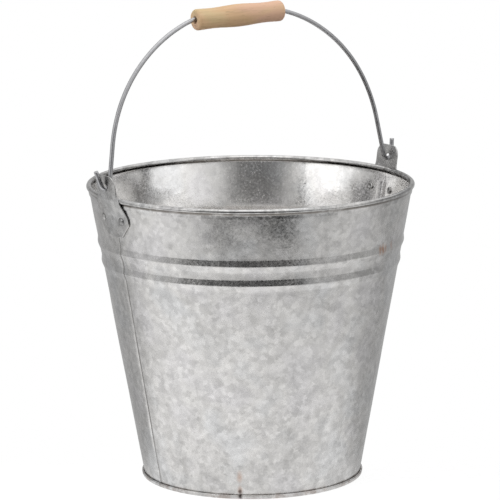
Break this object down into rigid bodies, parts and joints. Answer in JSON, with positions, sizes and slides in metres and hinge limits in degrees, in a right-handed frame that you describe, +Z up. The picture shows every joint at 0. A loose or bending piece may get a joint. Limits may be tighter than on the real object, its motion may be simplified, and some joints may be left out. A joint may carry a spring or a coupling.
{
  "type": "florist bucket",
  "caption": "Conical galvanised florist bucket with rolled wired rim, pressed beads, riveted ears, a swinging wire bail and a turned wooden grip.",
  "frame": {"origin": "centre of the foot ring, on the surface that the bucket stands on", "axes": "+Z up; the ears lie on the X axis; the front faces -Y"},
  "size_m": [0.3226, 0.2999, 0.4349],
  "materials": {
    "zinc_shell": "hot-dip galvanised sheet, weathered and mottled",
    "zinc_bottom": "hot-dip galvanised sheet, darker along the folded hem",
    "zinc_ear": "galvanised pressed plate",
    "zinc_rivet": "galvanised rivet",
    "steel_wire": "drawn galvanised wire",
    "turned_wood": "turned pale hardwood under thin lacquer"
  },
  "bodies": {
    "bucket": {"front_shell": "zinc_shell", "back_shell": "zinc_shell", "bottom_disc": "zinc_bottom", "rim_wire": "steel_wire", "left_ear": "zinc_ear", "right_ear": "zinc_ear", "rivet_left_front": "zinc_rivet", "rivet_left_back": "zinc_rivet", "rivet_right_front": "zinc_rivet", "rivet_right_back": "zinc_rivet"},
    "bail": {"bail_wire": "steel_wire"},
    "grip": {"wooden_grip": "turned_wood"}
  },
  "joints": [
    {"name": "bail_swing", "type": "hinge", "parent": "bucket", "child": "bail", "pos_m": [0, 0, 0.2805], "axis": [1, 0, 0], "range_deg": [-83.4, 94.2]},
    {"name": "grip_turn", "type": "hinge", "parent": "bail", "child": "grip", "pos_m": [-0.00347, 0.01358, 0.42417], "axis": [0.9997, 0.0025, 0.0261], "continuous": true}
  ]
}
